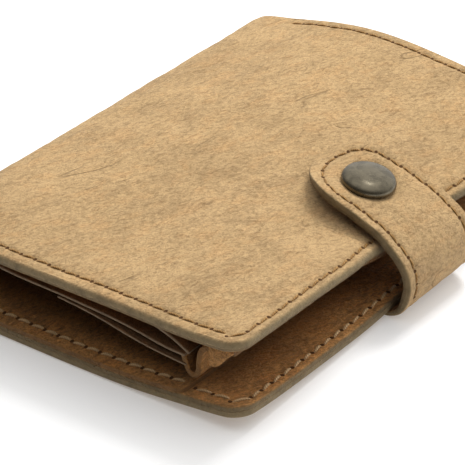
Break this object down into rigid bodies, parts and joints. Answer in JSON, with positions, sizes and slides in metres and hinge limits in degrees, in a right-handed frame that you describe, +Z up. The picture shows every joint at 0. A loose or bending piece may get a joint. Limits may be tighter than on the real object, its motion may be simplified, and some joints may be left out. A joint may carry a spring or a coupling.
{
  "type": "travel document organizer",
  "caption": "Bifold leather organizer for travel papers, lying closed, with inside pockets and a snap strap over its opening edge.",
  "frame": {"origin": "centre of the closed organizer's footprint, on the surface it lies on", "axes": "+X from the spine to the opening edge, +Y along the spine from the bottom edge to the top edge, +Z up through the front cover"},
  "size_m": [0.1024, 0.1378, 0.0255],
  "materials": {
    "outer_leather": "matte distressed nubuck",
    "inner_leather": "matte suede side",
    "pocket_leather": "matte smooth",
    "brown_thread": "waxed thread",
    "tan_thread": "waxed thread",
    "antique_brass": "antiqued, satin"
  },
  "bodies": {
    "back": {"back_cover": "outer_leather", "back_lining": "inner_leather", "document_pocket": "pocket_leather", "pocket_stitching": "tan_thread", "back_stitching": "tan_thread", "strap_root": "outer_leather"},
    "spine": {"spine_cover": "outer_leather", "spine_lining": "inner_leather"},
    "front": {"front_cover": "outer_leather", "front_lining": "inner_leather", "note_panel": "pocket_leather", "side_gusset": "pocket_leather", "bottom_web": "pocket_leather", "ticket_pocket": "pocket_leather", "front_stitching": "brown_thread", "snap_stud": "antique_brass", "snap_post": "antique_brass"},
    "strap_wrap": {"strap_wrap_outer": "outer_leather", "strap_wrap_lining": "inner_leather", "wrap_stitching": "brown_thread"},
    "strap_tip": {"strap_tip_outer": "outer_leather", "strap_tip_lining": "inner_leather", "tip_stitching": "brown_thread", "snap_cap": "antique_brass", "snap_socket": "antique_brass"}
  },
  "joints": [
    {"name": "spine_fold", "type": "hinge", "parent": "back", "child": "spine", "pos_m": [-0.04975, 0, 0.0015], "axis": [0, -1, 0], "range_deg": [0, 90]},
    {"name": "cover_fold", "type": "hinge", "parent": "spine", "child": "front", "pos_m": [-0.04975, 0, 0.0194], "axis": [0, -1, 0], "range_deg": [0, 90]},
    {"name": "strap_bend", "type": "hinge", "parent": "back", "child": "strap_wrap", "pos_m": [0.04956, 0, 0.0014], "axis": [0, 1, 0], "range_deg": [0, 90]},
    {"name": "strap_lift", "type": "hinge", "parent": "strap_wrap", "child": "strap_tip", "pos_m": [0.04913, 0, 0.02208], "axis": [0, 1, 0], "range_deg": [0, 90]}
  ],
  "couplings": [
    {"joint": "cover_fold", "follows": "spine_fold", "ratio": 1}
  ]
}
